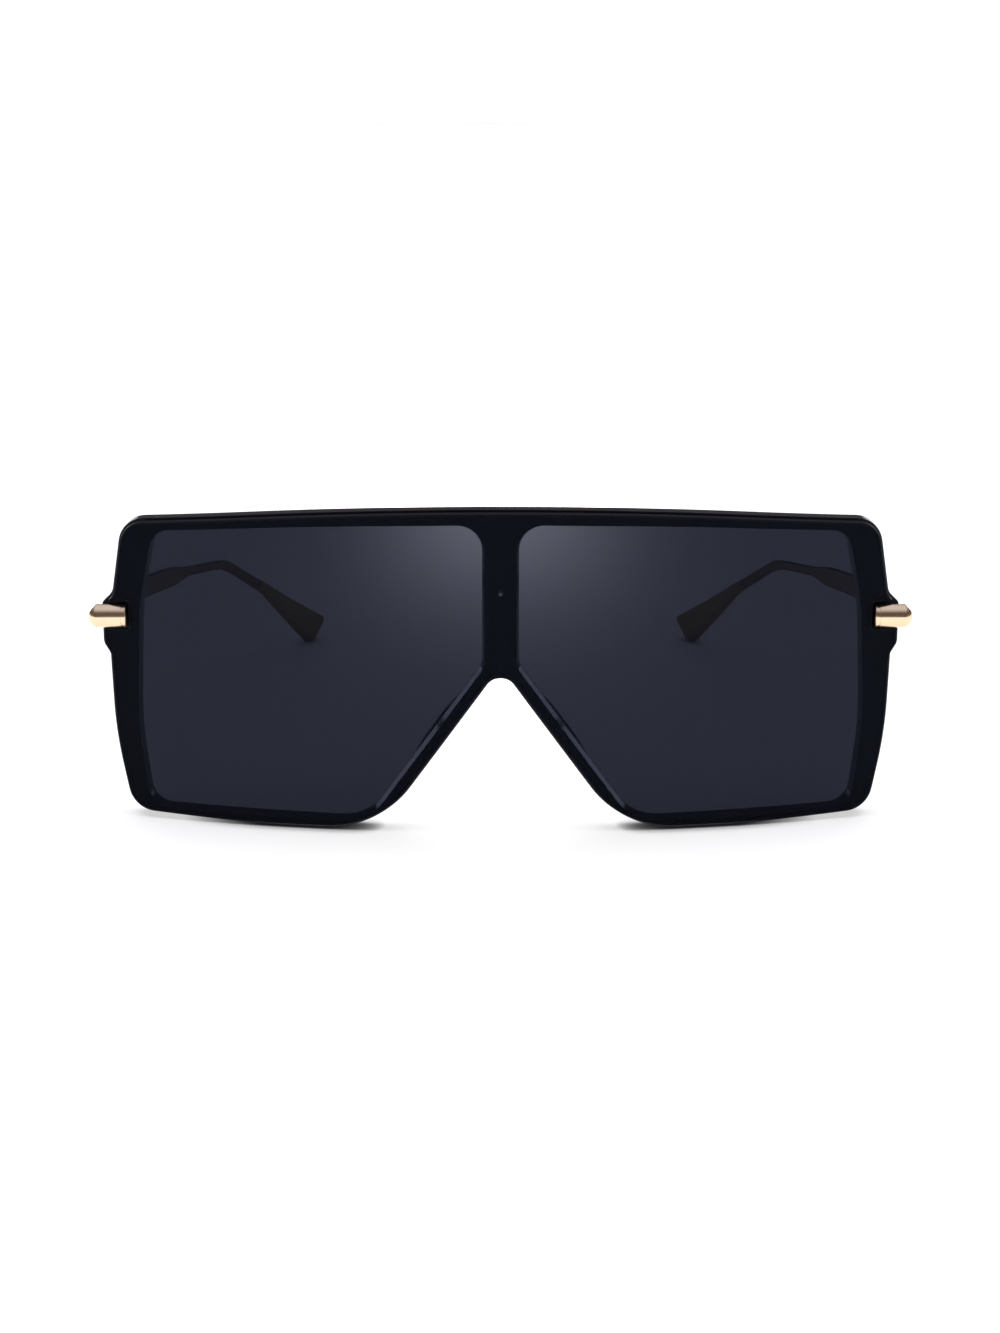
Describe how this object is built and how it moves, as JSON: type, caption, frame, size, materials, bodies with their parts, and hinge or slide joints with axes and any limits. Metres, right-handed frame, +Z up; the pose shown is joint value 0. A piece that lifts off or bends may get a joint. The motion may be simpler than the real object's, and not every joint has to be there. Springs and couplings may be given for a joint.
{
  "type": "oversized shield sunglasses",
  "caption": "Oversized flat-top sunglasses: one smoked lens over a black frame, thin gold temples that fold, and gold barrels at the hinges.",
  "frame": {"origin": "on the table, straight below the middle of the whole object's box, with the temples open", "axes": "+X is the wearer's left, +Y points back from the lens to the ears, +Z is up"},
  "size_m": [0.157, 0.1542, 0.0622],
  "materials": {
    "frame_black": "polished black plastic",
    "lens_smoke": "polished, dark blue-grey smoke, see-through",
    "pad_black": "satin black plastic",
    "barrel_gold": "polished pale gold plating",
    "hinge_gold": "satin pale gold plating",
    "temple_gold": "satin antique gold plating",
    "tip_gold": "satin antique gold plating",
    "screw_steel": "turned steel"
  },
  "bodies": {
    "front": {"front_frame": "frame_black", "shield_lens": "lens_smoke", "bridge_pin": "screw_steel", "left_nose_pad": "pad_black", "right_nose_pad": "pad_black", "left_barrel": "barrel_gold", "right_barrel": "barrel_gold", "left_barrel_screw": "screw_steel", "right_barrel_screw": "screw_steel", "left_hinge_plate": "hinge_gold", "right_hinge_plate": "hinge_gold", "left_plate_screws": "screw_steel", "right_plate_screws": "screw_steel", "left_hinge_screw": "screw_steel", "right_hinge_screw": "screw_steel"},
    "left_temple": {"left_temple_leaf": "hinge_gold", "left_temple_arm": "temple_gold", "left_temple_tip": "tip_gold"},
    "right_temple": {"right_temple_leaf": "hinge_gold", "right_temple_arm": "temple_gold", "right_temple_tip": "tip_gold"}
  },
  "joints": [
    {"name": "left_fold", "type": "hinge", "parent": "front", "child": "left_temple", "pos_m": [0.071, -0.05738, 0.03945], "axis": [0, 0, 1], "range_deg": [0, 80]},
    {"name": "right_fold", "type": "hinge", "parent": "front", "child": "right_temple", "pos_m": [-0.071, -0.05738, 0.03945], "axis": [0, 0, -1], "range_deg": [0, 76]}
  ]
}
